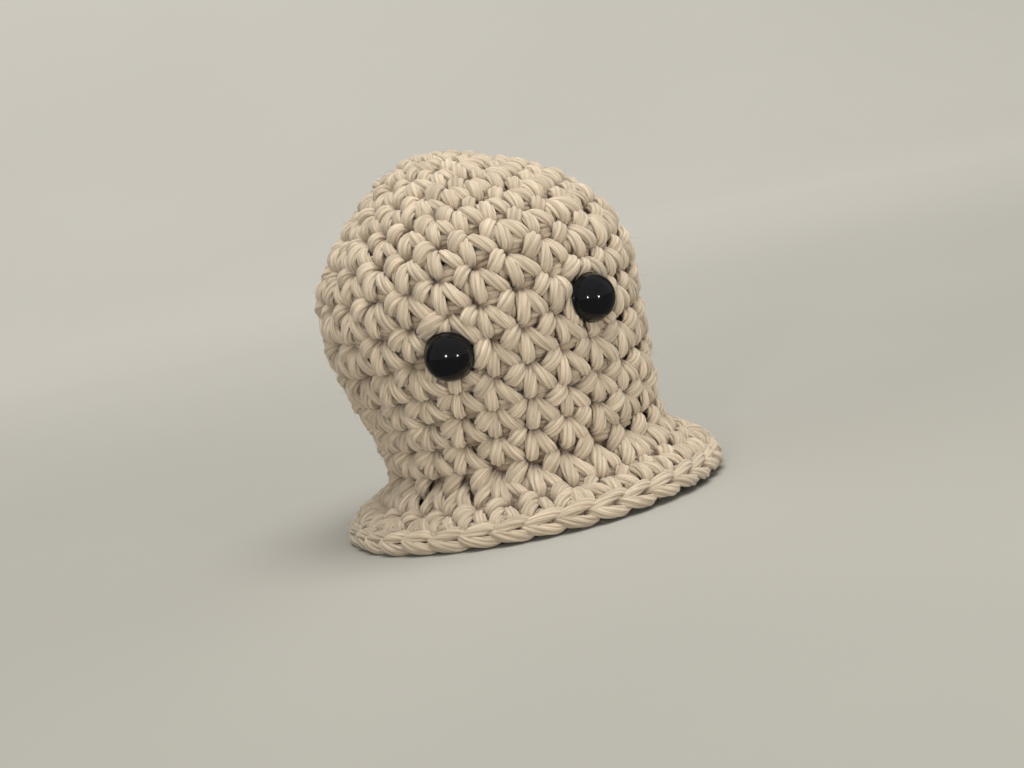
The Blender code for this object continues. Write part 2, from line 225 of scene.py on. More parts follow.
def sweep(paths, radii, outwards, seeds):
    """Points and streak coordinates of twisted, plied tubes round paths (strand, ring, 3)."""
    strands, rings, _ = paths.shape
    tangent = unit(np.gradient(paths, axis=1))
    normal = np.zeros_like(paths)
    middle = rings // 2
    up = outwards - np.sum(outwards * tangent[:, middle], -1, keepdims=True) * tangent[:, middle]
    normal[:, middle] = unit(up)
    for order in (range(middle + 1, rings), range(middle - 1, -1, -1)):
        for ring in order:
            before = ring - 1 if ring > middle else ring + 1
            carried = normal[:, before]
            along = tangent[:, ring]
            normal[:, ring] = unit(carried - np.sum(carried * along, -1, keepdims=True) * along)
    side = np.cross(tangent, normal)
    step = np.linalg.norm(np.diff(paths, axis=1), axis=-1)
    arc = np.concatenate([np.zeros((strands, 1)), np.cumsum(step, axis=1)], axis=1)
    count = PLY_COUNT * PLY_POINTS
    around = np.arange(count) / count
    lobe = np.abs(np.sin(np.pi * PLY_COUNT * around)) ** PLY_ROUNDNESS
    lobe = 1 - PLY_GROOVE_SHARE * (1 - lobe)
    turn = (arc / TWIST_PITCH + seeds[:, None])[..., None] + around
    angle = 2 * np.pi * turn
    radius = (radii[..., None] * lobe)[..., None]
    points = paths[:, :, None, :] + radius * (
        np.cos(angle)[..., None] * normal[:, :, None, :] * YARN_FLATNESS
        + np.sin(angle)[..., None] * side[:, :, None, :] / YARN_FLATNESS
    )
    ring_uv = np.broadcast_to(around, (strands, rings, count))
    run = arc[..., None] * STREAKS_PER_METRE + seeds[:, None, None] * STREAK_SEEDS
    arc_uv = np.broadcast_to(run, (strands, rings, count))
    uv = np.stack([ring_uv, arc_uv], axis=-1)
    return points, uv


def tubes_to_mesh(name, groups):
    """One mesh object from groups of closed tubes: [(points, uv, tint, level)]."""
    vertices, faces, uvs, tints, levels = [], [], [], [], []
    offset = 0
    capped = []
    for points, uv, tint, level in groups:
        strands, rings, count, _ = points.shape
        vertices.append(points.reshape(-1, 3))
        levels.append(level.ravel())
        index = np.arange(strands * rings * count).reshape(strands, rings, count) + offset
        ahead = np.roll(index, -1, axis=2)
        quads = np.stack([index[:, :-1], ahead[:, :-1], ahead[:, 1:], index[:, 1:]], axis=-1)
        faces.append(quads.reshape(-1, 4))
        next_uv = np.roll(uv, -1, axis=2).copy()
        next_uv[:, :, -1, 0] += 1
        quad_uv = np.stack([uv[:, :-1], next_uv[:, :-1], next_uv[:, 1:], uv[:, 1:]], axis=3)
        uvs.append(quad_uv.reshape(-1, 2))
        tints.append(np.repeat(tint, (rings - 1) * count))
        for strand in range(strands):
            capped.append(index[strand, 0, ::-1])
            capped.append(index[strand, -1])
        offset += strands * rings * count
    vertices = np.concatenate(vertices)
    faces = np.concatenate(faces)
    uvs = np.concatenate(uvs)
    tints = np.concatenate(tints)
    caps = np.concatenate(capped)
    cap_sizes = np.array([len(cap) for cap in capped])
    mesh = bpy.data.meshes.new(name)
    mesh.vertices.add(len(vertices))
    mesh.vertices.foreach_set("co", vertices.astype(np.float32).ravel())
    loops = np.concatenate([faces.ravel(), caps])
    mesh.loops.add(len(loops))
    mesh.loops.foreach_set("vertex_index", loops.astype(np.int32))
    sizes = np.concatenate([np.full(len(faces), 4), cap_sizes])
    starts = np.concatenate([[0], np.cumsum(sizes)[:-1]])
    mesh.polygons.add(len(sizes))
    mesh.polygons.foreach_set("loop_start", starts.astype(np.int32))
    layer = mesh.uv_layers.new(name="strand")
    full_uv = np.concatenate([uvs, np.zeros((len(caps), 2))])
    layer.uv.foreach_set("vector", full_uv.astype(np.float32).ravel())
    tint_layer = mesh.attributes.new("tint", "FLOAT", "FACE")
    full_tint = np.concatenate([tints, np.zeros(len(cap_sizes))])
    tint_layer.data.foreach_set("value", full_tint.astype(np.float32))
    # Each point's level, which the cotton turns into painted shade.
    level_layer = mesh.attributes.new("level", "FLOAT", "POINT")
    level_layer.data.foreach_set("value", np.concatenate(levels).astype(np.float32))
    mesh.update(calc_edges=True)
    mesh.validate()
    mesh.shade_smooth()
    obj = bpy.data.objects.new(name, mesh)
    bpy.context.scene.collection.objects.link(obj)
    return obj


# Each strand's knots: along the round (widths), down the round, height of its middle over the
# fabric's outside (mm), and share of the yarn's radius.
LEFT_LEG = [
    (0.07, 0.15, -4.0, 0.80),
    (0.07, 0.18, -2.9, 0.92),
    (0.065, 0.27, -1.75, 1.02),
    (0.04, 0.44, -1.05, 1.06),
    (0.01, 0.66, -0.80, 1.06),
    (-0.01, 0.82, -1.05, 1.00),
    (-0.02, 0.90, -2.1, 0.88),
    (-0.02, 0.92, -3.5, 0.76),
]
RIGHT_LEG = [
    (0.18, 0.14, -4.0, 0.80),
    (0.205, 0.19, -2.9, 0.90),
    (0.26, 0.29, -1.80, 0.98),
    (0.36, 0.45, -1.10, 1.03),
    (0.48, 0.64, -0.88, 1.03),
    (0.585, 0.80, -1.20, 0.98),
    (0.64, 0.89, -2.2, 0.88),
    (0.655, 0.92, -3.5, 0.76),
]
TOP_LOOP = [
    (-0.03, -0.07, -3.8, 0.82),
    (-0.06, -0.04, -2.5, 0.95),
    (-0.13, 0.04, -1.40, 1.12),
    (-0.23, 0.15, -0.85, 1.20),
    (-0.34, 0.28, -1.05, 1.16),
    (-0.43, 0.38, -2.0, 1.00),
    (-0.46, 0.43, -3.4, 0.85),
]
SIDE_LEG = [
    (-0.13, 0.14, -3.5, 0.85),
    (-0.175, 0.28, -2.45, 1.00),
    (-0.215, 0.45, -2.05, 1.06),
    (-0.24, 0.60, -2.35, 0.98),
    (-0.245, 0.72, -3.4, 0.80),
]
BACK_LOOP = [
    (-0.98, 0.06, -3.9, 0.95),
    (-0.66, -0.02, -2.8, 1.15),
    (-0.36, -0.04, -2.8, 1.15),
    (-0.04, 0.00, -4.2, 0.95),
]
BACK_LEG = [
    (-0.06, 0.70, -3.0, 1.10),
    (0.16, 0.76, -2.4, 1.20),
    (0.44, 0.76, -2.4, 1.20),
    (0.72, 0.62, -2.8, 1.10),
]

# The loose fibres: number, size, lengths (mm), how they lie, and where they may grow.
FIBRES_PER_STRAND = 9
FIBRE_LIMIT = 9000
FIBRE_RADIUS = 0.027 * MM
FIBRE_TIP_SHARE = 0.4
FIBRE_LENGTHS = (0.6, 1.8)
FIBRE_LIFTS = (0.2, 0.8)
FIBRE_STRAYING = 0.35
FIBRE_BOW = 0.45
FIBRE_BOW_LIFT = 0.3
FIBRE_SIDES = 3
FIBRE_LEAST_LEVEL = -1.7
FIBRE_LEAST_HEIGHT = 0.5 * MM
FIBRE_EYE_ROOM = 0.8 * MM

# The underside: where the base disc's rounds begin and their stitches, the ring of stitches
# under the brim, the height of both, and the level that sets their painted shade.
DISC_STARTS = [0.0004, 0.0032, 0.0088, 0.0144, 0.0198]
DISC_STITCHES = [6, 12, 18, 24]
FOOT_STITCHES = 36
FOOT_RADIUS = 0.0300
FOOT_WIDTH = 0.0042
UNDERSIDE_LEVEL = 0.0003
UNDERSIDE_SHADE_LEVEL = -1.2 * MM

# Each eye's place and axis, the size of its dome and post, and how its stitches give way.
SIDES = ("left", "right")
JOINTS = {joint["name"]: joint for joint in frame["joints"]}
EYE_JOINTS = [JOINTS[f"eye_{side}_turn"] for side in SIDES]
EYES = [(np.array(joint["pos_m"]), unit(np.array(joint["axis"]))) for joint in EYE_JOINTS]
EYE_RADIUS = 0.0040
POST_RADIUS = 0.0017
EYE_REACH = 0.0070
EYE_SLOPE = 2.4 * MM
DOME_CLEARANCE = 0.05 * MM


def clear_of_eyes(paths, radii):
    """Strands move aside for the posts and lie below the eyes' backs."""
    for origin, axis in EYES:
        along = (paths - origin) @ axis
        across = paths - origin - along[..., None] * axis
        distance = np.linalg.norm(across, axis=-1)
        near = (distance < EYE_REACH) & (np.abs(along) < EYE_REACH)
        room = POST_RADIUS + radii
        pushed = np.where(near, room + distance * (1 - room / EYE_REACH), distance)
        limit = EYE_SLOPE * np.clip((pushed - EYE_RADIUS * 0.9) / EYE_RADIUS, 0, 1) - radii
        lowered = np.where(near, np.minimum(along, limit), along)
        across = across * (pushed / np.maximum(distance, 1e-9))[..., None]
        paths = origin + lowered[..., None] * axis + across
    return paths


def under_eyes(points):
    """What of a strand is still inside a dome goes down to the dome's back."""
    for origin, axis in EYES:
        along = (points - origin) @ axis
        across = points - origin - along[..., None] * axis
        distance = np.linalg.norm(across, axis=-1)
        inside = (distance < EYE_RADIUS + DOME_CLEARANCE) & (along > 0) & (along < EYE_REACH)
        drop = np.where(inside, along, 0)
        points = points - drop[..., None] * axis
    return points


def place_rounds(counts):
    """For each closed round: roots, middles, tops of the stitches and their width, as azimuths."""
    width = 2 * np.pi / counts[0]
    middles = width * np.arange(counts[0])
    rounds = [(middles - LEG_MIDDLE * width, middles, middles + TOP_OFFSET * width, width)]
    for count in counts[1:]:
        rounds.append(round_on(rounds[-1][2], count))
    return rounds


def round_on(tops, count):
    """A closed round of stitches worked into the tops of the round before."""
    width = 2 * np.pi / count
    parent = np.floor((np.arange(count) + 0.5) * len(tops) / count).astype(int)
    roots = tops[parent]
    spread = width * np.arange(count)
    middles = np.mean(roots - spread) + LEG_MIDDLE * width + spread
    return roots, middles, middles + TOP_OFFSET * width, width


def between_half_turns(layout):
    """The same round with every root between -180 and 180 degrees."""
    roots, middles, tops, width = layout
    turns = np.floor((roots + np.pi) / (2 * np.pi)) * 2 * np.pi
    return roots - turns, middles - turns, tops - turns, width


def endless_row(offset, width):
    """The places of an endless row of stitches that lie between -180 and 180 degrees."""
    first = math.ceil((-np.pi - offset) / width)
    last = math.floor((np.pi - offset) / width)
    return offset + width * np.arange(first, last + 1)


def spiral_rounds():
    """All rounds of the doll: the crown's increases, the even spiral, and the brim."""
    even = [number for number, count in enumerate(STITCHES_IN_ROUNDS) if count == EVEN_COUNT]
    step = LEG_MIDDLE + TOP_OFFSET
    width = 2 * np.pi / (EVEN_COUNT + 1 - step)
    offsets = [HOLE_AZIMUTH + (number - HOLE_ROUND) * step * width for number in even]
    crown = place_rounds(STITCHES_IN_ROUNDS[: even[0]])
    tops = crown[-1][2]
    target = endless_row(offsets[0], width)
    parent = np.floor((np.arange(len(target)) + 0.5) * len(tops) / len(target)).astype(int)
    shift = np.mean(target) - np.mean(tops[parent])
    crown = [
        (roots + shift, middles + shift, tops + shift, size)
        for roots, middles, tops, size in crown
    ]
    roots = crown[-1][2][parent]
    rounds = crown + [(roots, target + LEG_MIDDLE * width, target + step * width, width)]
    for offset in offsets[1:]:
        roots = endless_row(offset, width)
        rounds.append((roots, roots + LEG_MIDDLE * width, roots + step * width, width))
    tops = endless_row(offsets[-1] + step * width, width)
    rounds.append(round_on(tops, STITCHES_IN_ROUNDS[-2] + 1))
    tops = np.sort((rounds[-1][2] + np.pi) % (2 * np.pi) - np.pi)
    rounds.append(round_on(tops, STITCHES_IN_ROUNDS[-1]))
    return [
        layout if number in even[1:] else between_half_turns(layout)
        for number, layout in enumerate(rounds)
    ]


def strand_points(knots, round_number, roots, middles, width, jitter):
    """Azimuth, place in the round, depth and radius share of a round's strands (stitch, knot)."""
    knots = np.array(knots)
    sway = jitter[:, 4:5] * (knots[:, 1] - 0.5)
    u = knots[:, 0] + jitter[:, 0:1] * UNEVEN_ALONG + sway * UNEVEN_SLANT
    v = knots[:, 1] + jitter[:, 1:2] * UNEVEN_DOWN
    depth = (knots[:, 2] + jitter[:, 2:3] * UNEVEN_DEPTH) * MM
    share = knots[:, 3] * (1 + jitter[:, 3:4] * UNEVEN_SHARE)
    fan = (middles - roots - LEG_MIDDLE * width)[:, None]
    azimuth = roots[:, None] + fan * np.clip(v, 0, 1) + u * width
    return azimuth, v, depth, share


def spiral_place(azimuth, v, round_number):
    """Where a strand of the head and brim lies: arc length from the crown, and azimuth."""
    place = round_number + v
    begins = np.clip((place - 0.5) / SPIRAL_FADE, 0, 1)
    ends = np.clip((len(STITCHES_IN_ROUNDS) - place) / SPIRAL_FADE, 0, 1)
    climb = azimuth / (2 * np.pi) - ROW_TILT * np.sin(azimuth)
    begins_tight = np.clip(round_number / TIGHT_ROUNDS_FADE, 0, 1)
    ends_tight = np.clip((TIGHT_ROUNDS_END - round_number) / TIGHT_ROUNDS_FADE, 0, 1)
    tight = FRONT_TIGHTNESS * begins_tight * ends_tight
    return arc_of_round(place + climb * begins * ends), azimuth - tight * np.sin(azimuth)


def disc_place(azimuth, v, round_number):
    """Where a strand of the base disc lies: distance from the middle, and azimuth."""
    arc = np.interp(round_number + v, np.arange(-1, len(DISC_STARTS)), [0.0] + DISC_STARTS)
    return arc, -azimuth


def foot_place(azimuth, v, round_number):
    """Where a strand under the brim lies: distance from the middle, and azimuth."""
    return FOOT_RADIUS - v * FOOT_WIDTH, azimuth


def on_underside(arc, azimuth, depth):
    """Points on the underside: distance from the middle, azimuth, and depth outwards."""
    arc = np.maximum(arc, LEAST_RADIUS)
    height = UNDERSIDE_LEVEL - depth
    return np.stack([arc * np.sin(azimuth), -arc * np.cos(azimuth), height], axis=-1)


def map_strands(azimuth, v, depth, share, round_number, count, layer):
    """Sampled paths, radii, outward directions and depths of strands given by their knots."""
    channels = np.stack([azimuth, v, depth, share], axis=-1)
    azimuth, v, depth, share = np.moveaxis(smooth_path(channels, count), -1, 0)
    place, surface = layer
    arc, azimuth = place(azimuth, v, round_number)
    paths = surface(arc, azimuth, depth)
    outwards = unit(surface(arc, azimuth, depth + MM) - paths)[:, count // 2]
    if surface is on_fabric:
        paths = clear_of_eyes(paths, share * YARN_RADIUS)
    else:
        # The underside's strands all get one level, and so one even painted shade.
        depth = np.full(depth.shape, UNDERSIDE_SHADE_LEVEL)
    return paths, share * YARN_RADIUS, outwards, depth


def uneven_draws(count):
    """Five bounded random numbers for each strand of a round."""
    return random_numbers.normal(size=(count, 5)).clip(-2, 2)


def crochet_round(number, layout, name, layer, ends_at_edge=False):
    """One round of single crochet. The edge's links stand for the last round's top loops."""
    roots, middles, tops, width = layout
    count = len(roots)
    groups = []
    shared = uneven_draws(count)
    legs = (
        (LEFT_LEG, RINGS_PER_STRAND),
        (RIGHT_LEG, RINGS_PER_STRAND),
        (SIDE_LEG, SIDE_RINGS),
        (BACK_LEG, HIDDEN_RINGS),
    )
    for knots, rings in legs:
        jitter = shared * SHARED_UNEVENNESS + uneven_draws(count) * OWN_UNEVENNESS
        strands = strand_points(knots, number, roots, middles, width, jitter)
        groups.append(sweep_group(map_strands(*strands, number, rings, layer)))
    loops = [(TOP_LOOP, RINGS_PER_STRAND), (BACK_LOOP, HIDDEN_RINGS)]
    if ends_at_edge:
        loops = loops[1:]
    for knots, rings in loops:
        jitter = uneven_draws(count)
        loop_middles = tops + LEG_MIDDLE * width
        azimuth, v, depth, share = strand_points(knots, number, tops, loop_middles, width, jitter)
        groups.append(sweep_group(map_strands(azimuth, v + 1, depth, share, number, rings, layer)))
    return tubes_to_mesh(name, groups)


def sweep_group(mapped):
    """The tubes of some strands, with a tint for each and the level of each point (mm)."""
    paths, radii, outwards, depth = mapped
    seeds = random_numbers.random(len(paths))
    points, uv = sweep(paths, radii, outwards, seeds)
    over_path = np.sum((points - paths[:, :, None]) * outwards[:, None, None], axis=-1)
    # Each point's level sets its painted shade, and where fibres grow.
    level = (depth[..., None] + over_path) / MM
    points = under_eyes(points)
    points[..., 2] = np.maximum(points[..., 2], FLOOR_CLEARANCE)
    grow_fuzz(points, level)
    return points, uv, random_numbers.random(len(paths)), level


# Filled as the strands are made: where fibres grow, where they head, and how they bow.
fuzz_roots = []


def grow_fuzz(points, level):
    """Collect roots and directions of loose fibres, where the strands show."""
    strands, rings, count, _ = points.shape
    picks = strands * FIBRES_PER_STRAND
    strand = np.repeat(np.arange(strands), FIBRES_PER_STRAND)
    ring = random_numbers.integers(1, rings - 1, picks)
    around = random_numbers.integers(0, count, picks)
    centre = points[strand, ring].mean(axis=1)
    along = unit(points[strand, ring + 1].mean(axis=1) - centre)
    root = points[strand, ring, around]
    normal = unit(root - centre)
    heading = unit(
        normal * random_numbers.uniform(*FIBRE_LIFTS, (picks, 1))
        + along * random_numbers.choice([-1.0, 1.0], (picks, 1))
        + random_numbers.normal(size=(picks, 3)) * FIBRE_STRAYING
    )
    bow = unit(random_numbers.normal(size=(picks, 3)) + normal * FIBRE_BOW_LIFT)
    shows = (level[strand, ring, around] > FIBRE_LEAST_LEVEL) & (root[:, 2] > FIBRE_LEAST_HEIGHT)
    for origin, axis in EYES:
        aside = root - origin
        aside = np.linalg.norm(aside - (aside @ axis)[:, None] * axis, axis=-1)
        shows &= aside > EYE_RADIUS + FIBRE_EYE_ROOM
    fuzz_roots.append(np.stack([root, heading, bow], axis=1)[shows])


def fuzz_fibres():
    """Short, fine, bowed fibres that stand off the yarn."""
    roots = np.concatenate(fuzz_roots)
    roots = roots[random_numbers.permutation(len(roots))[:FIBRE_LIMIT]]
    root, heading, bow = roots[:, 0], roots[:, 1], roots[:, 2]
    length = random_numbers.uniform(*FIBRE_LENGTHS, (len(root), 1)) * MM
    share = np.linspace(0, 1, 4)[None, :, None]
    bent_heading = heading[:, None] * share + bow[:, None] * FIBRE_BOW * share**2
    path = root[:, None] + length[:, None] * bent_heading
    path[..., 2] = np.maximum(path[..., 2], 2 * FIBRE_RADIUS)
    side = unit(np.cross(heading, bow))
    up = np.cross(side, heading)
    angle = np.arange(FIBRE_SIDES) * 2 * np.pi / FIBRE_SIDES
    cross = np.cos(angle)[:, None] * side[:, None] + np.sin(angle)[:, None] * up[:, None]
    thick = FIBRE_RADIUS * (1 - (1 - FIBRE_TIP_SHARE) * share)
    points = path[:, :, None] + thick[..., None] * cross[:, None]
    uv = np.zeros(points.shape[:3] + (2,))
    uv[..., 1] = random_numbers.random(len(root))[:, None, None] * STREAK_SEEDS
    return points, uv, random_numbers.random(len(root)), np.zeros(points.shape[:3])


# Materials.

# The levels over which the yarn goes from its painted shade to its own tone (mm), and the
# backdrop: its tone on the floor and in reflections, and the wall's glow and where it sets in.
PAINTED_SHADE_LEVELS = (-3.3, -0.6)
FLOOR_SHARE = 0.66
MIRRORED_SHARE = 0.35
WALL_GLOW = 0.26
WALL_GLOW_REACH = (0.02, 0.62)


class Look:
    """A material, and the few kinds of nodes that its look is made of."""

    def __init__(self, name):
        self.material = bpy.data.materials.new(name)
        self.material.use_nodes = True
        self.nodes = self.material.node_tree.nodes
        self.links = self.material.node_tree.links
        self.shader = self.nodes["Principled BSDF"]
        self.place = None

    def feed(self, node, inputs):
        """Link a node's inputs to other nodes' outputs, or set them to values."""
        for key, value in inputs.items():
            if isinstance(value, bpy.types.NodeSocket):
                self.links.new(value, node.inputs[key])
            else:
                node.inputs[key].default_value = value

    def shade(self, inputs):
        """Feed the shader, and give the finished material."""
        self.feed(self.shader, inputs)
        return self.material

    def add(self, kind, inputs, output, **settings):
        """One output of a new node with these settings and inputs."""
        node = self.nodes.new(kind)
        for setting, value in settings.items():
            setattr(node, setting, value)
        self.feed(node, inputs)
        return node.outputs[output]

    def where(self):
        """The place on the object, in its own coordinates."""
        if self.place is None:
            self.place = self.add("ShaderNodeTexCoord", {}, "Object")
        return self.place

    def noise(self, place, scale, detail, distortion=0.0):
        """Noise from 0 to 1."""
        inputs = {"Vector": place, "Scale": scale, "Detail": detail, "Distortion": distortion}
        return self.add("ShaderNodeTexNoise", inputs, "Fac")

    def ramp(self, factor, dark, light, low=0.0, high=1.0):
        """A tone between dark and light, as the factor goes from low to high."""
        node = self.nodes.new("ShaderNodeValToRGB")
        ends = node.color_ramp.elements
        ends[0].position, ends[0].color = low, (*dark, 1)
        ends[1].position, ends[1].color = high, (*light, 1)
        self.links.new(factor, node.inputs["Fac"])
        return node.outputs["Color"]

    def mapped(self, value, source, target, interpolation="LINEAR"):
        """A value's place in the source range, carried over to the target range."""
        inputs = {"Value": value, "From Min": source[0], "From Max": source[1]}
        inputs |= {"To Min": target[0], "To Max": target[1]}
        return self.add("ShaderNodeMapRange", inputs, "Result", interpolation_type=interpolation)

    def product(self, first, second):
        """One value times another."""
        return self.add("ShaderNodeMath", {0: first, 1: second}, "Value", operation="MULTIPLY")

    def scaled(self, color, factor):
        """A colour times a value."""
        inputs = {0: color, "Scale": factor}
        return self.add("ShaderNodeVectorMath", inputs, "Vector", operation="SCALE")

    def bump(self, height, strength, distance):
        """Normals roughened by a height."""
        inputs = {"Height": height, "Strength": strength, "Distance": distance}
        return self.add("ShaderNodeBump", inputs, "Normal")


def cotton_material():
    """Matt cream cotton with fine streaks along its plies, and painted shade: brown where strands
    lie deep.
    """
    look = Look("cotton")
    strand = look.add("ShaderNodeUVMap", {}, "UV", uv_map="strand")
    stretched = {"Vector": strand, "Scale": (24, 2.6, 1)}
    fibres = look.noise(look.add("ShaderNodeMapping", stretched, "Vector"), 1.0, 4)
    streaks = look.ramp(fibres, (0.395, 0.313, 0.219), (0.63, 0.515, 0.376), 0.34, 0.68)
    level = look.add("ShaderNodeAttribute", {}, "Fac", attribute_name="level")
    height = look.mapped(level, PAINTED_SHADE_LEVELS, (0, 1), "SMOOTHSTEP")
    # ShaderNodeMix has sockets of the same name for each data type; these are its colours.
    color_a, color_b, color_result = 6, 7, 2
    # Painted shade: the brown deep tone is mixed in as a strand lies deeper in the fabric.
    shade_tones = {"Factor": height, color_a: (0.30, 0.215, 0.14, 1), color_b: (1, 1, 1, 1)}
    painted_shade = look.add("ShaderNodeMix", shade_tones, color_result, data_type="RGBA")
    both = {0: streaks, 1: painted_shade}
    shaded_streaks = look.add("ShaderNodeVectorMath", both, "Vector", operation="MULTIPLY")
    tint = look.add("ShaderNodeAttribute", {}, "Fac", attribute_name="tint")
    along_plies = {"Vector": strand, "Scale": (PLY_COUNT, 0.7, 1)}
    plies = look.noise(look.add("ShaderNodeMapping", along_plies, "Vector"), 0.9, 1)
    share = look.product(
        look.mapped(tint, (0, 1), (0.92, 1.06)),
        look.mapped(plies, (0.3, 0.7), (0.88, 1.10)),
    )
    return look.shade({
        "Base Color": look.scaled(shaded_streaks, share),
        "Normal": look.bump(fibres, 0.8, 0.1 * MM),
        "Roughness": 0.8,
        "Specular IOR Level": 0.25,
        "Sheen Weight": 0.35,
        "Sheen Roughness": 0.5,
        "Subsurface Weight": 0.15,
        "Subsurface Radius": (0.4 * MM, 0.4 * MM, 0.4 * MM),
        "Subsurface Scale": 1.0,
    })


def shade_sheet_material():
    """Cotton in painted shade, dark brown, for the sheets seen only between the stitches."""
    look = Look("shade_sheet")
    mottle = look.noise(look.where(), 900, 4)
    tone = look.ramp(mottle, (0.19, 0.13, 0.08), (0.28, 0.195, 0.12), 0.3, 0.7)
    return look.shade({"Base Color": tone, "Roughness": 1.0, "Specular IOR Level": 0.1})


def backdrop_material():
    """Matt paper, deeper in tone on the floor and paler behind the doll."""
    look = Look("backdrop")
    mottle = look.noise(look.where(), 6, 4)
    tone = look.ramp(mottle, (0.59, 0.561, 0.498), (0.62, 0.59, 0.522), 0.3, 0.7)
    split = look.nodes.new("ShaderNodeSeparateXYZ")
    look.feed(split, {"Vector": look.where()})
    rise = look.mapped(split.outputs["Z"], (0, 0.5), (FLOOR_SHARE, 1), "SMOOTHSTEP")
    seen = look.nodes.new("ShaderNodeLightPath")
    mirrored = look.mapped(seen.outputs["Is Glossy Ray"], (0, 1), (1, MIRRORED_SHARE))
    glow = look.mapped(split.outputs["Y"], WALL_GLOW_REACH, (0, WALL_GLOW), "SMOOTHSTEP")
    return look.shade({
        "Base Color": look.scaled(tone, look.product(rise, mirrored)),
        "Emission Color": (0.98, 0.935, 0.86, 1),
        "Emission Strength": look.product(seen.outputs["Is Camera Ray"], glow),
        "Roughness": 0.95,
        "Specular IOR Level": 0.1,
    })


def dress(obj, material, body, slot_name, *replaced):
    """Give a piece its material and body, and hide the solids it stands for. slot_name is not
    used.
    """
    obj.data.materials.clear()
    obj.data.materials.append(material)
    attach(obj, body)
    if replaced:
        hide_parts(*replaced)


def add_mesh(name, vertices, faces):
    """A smooth mesh object in the scene."""
    mesh = bpy.data.meshes.new(name)
    mesh.from_pydata(vertices, [], faces)
    mesh.shade_smooth()
    obj = bpy.data.objects.new(name, mesh)
    bpy.context.scene.collection.objects.link(obj)
    return obj


def ring_faces(rings, segments):
    """The faces between rings of as many points each."""
    faces = []
    for ring in range(rings - 1):
        for k in range(segments):
            a = ring * segments + k
            b = ring * segments + (k + 1) % segments
            faces.append((a, b, b + segments, a + segments))
    return faces


def end_faces(rings, segments):
    """The faces that close the first and the last ring."""
    last = (rings - 1) * segments
    return [tuple(range(segments))[::-1], tuple(range(last, last + segments))]


# Sheets of painted shade, cotton in shadow, behind the stitches: one along the fabric, and one
# behind the underside's stitches, given by radius and height.
SHADE_SHEET_START = 0.0002
SHADE_SHEET_END = 0.945 * ARC_LENGTH
SHADE_SHEET_STEPS = 60
SHADE_SHEET_DEPTHS = (-0.0031, -0.0034)
BRIM_SHADE_SHEET = [
    (0.02 * MM, 0.0026),
    (0.0281, 0.0026),
    (0.0283, 0.0028),
    (0.0283, 0.0031),
    (0.0281, 0.0033),
    (0.02 * MM, 0.0033),
]


def turned_sheet(name, arcs, depth_out, depth_in, segments=96):
    """A double skin along the fabric at two depths, joined at its lower edge."""
    azimuth = np.linspace(0, 2 * np.pi, segments, endpoint=False)
    rings = [on_fabric(np.full(segments, arc), azimuth, depth_out) for arc in arcs]
    rings += [on_fabric(np.full(segments, arc), azimuth, depth_in) for arc in arcs[::-1]]
    return add_mesh(name, np.concatenate(rings).tolist(), ring_faces(len(rings), segments))


# One whip stitch: along the ring, distance from the middle (mm), height (mm), share of the radius,
# and how uneven each of these is.
WHIP_COUNT = 30
WHIP_UNEVENNESS = (0.06, 0.25, 0.1, 0.04)
# The whip stitches' level, which sets their painted shade.
WHIP_SHADE_LEVEL = -1.0 * MM
WHIP_STITCH = [
    (0.00, 20.2, 2.6, 0.60),
    (0.05, 20.7, 1.5, 0.66),
    (0.20, 22.0, 0.85, 0.70),
    (0.52, 23.7, 0.80, 0.70),
    (0.78, 25.2, 0.95, 0.70),
    (0.92, 26.2, 1.7, 0.66),
    (0.96, 26.6, 2.8, 0.60),
]


def whip_stitches():
    """The yarn that sews the base disc in, one slanting stitch after the other."""
    knots = np.array(WHIP_STITCH)
    jitter = random_numbers.normal(size=(WHIP_COUNT, 4)).clip(-2, 2) * WHIP_UNEVENNESS
    width = 2 * np.pi / WHIP_COUNT
    azimuth = width * (np.arange(WHIP_COUNT)[:, None] + knots[:, 0] + jitter[:, 0:1])
    radius = (knots[:, 1] + jitter[:, 1:2]) * MM
    height = (knots[:, 2] + np.abs(jitter[:, 2:3])) * MM
    share = knots[:, 3] * (1 + jitter[:, 3:4])
    channels = np.stack([azimuth, radius, height, share], axis=-1)
    azimuth, radius, height, share = np.moveaxis(smooth_path(channels, RINGS_PER_STRAND), -1, 0)
    paths = np.stack([radius * np.sin(azimuth), -radius * np.cos(azimuth), height], axis=-1)
    down = np.broadcast_to([0.0, 0.0, -1.0], (WHIP_COUNT, 3))
    return paths, share * YARN_RADIUS, down, np.full(share.shape, WHIP_SHADE_LEVEL)


def turned_piece(name, profile, position, axis, segments=96):
    """A closed turned body: profile is (radius, height along the axis)."""
    turn = Vector(axis).normalized().to_track_quat("Z", "Y").to_matrix().to_4x4()
    turn.translation = Vector(position)
    vertices = []
    for radius, height in profile:
        for k in range(segments):
            angle = 2 * math.pi * k / segments
            point = turn @ Vector((radius * math.cos(angle), radius * math.sin(angle), height))
            vertices.append(tuple(point))
    rings = len(profile)
    return add_mesh(name, vertices, ring_faces(rings, segments) + end_faces(rings, segments))


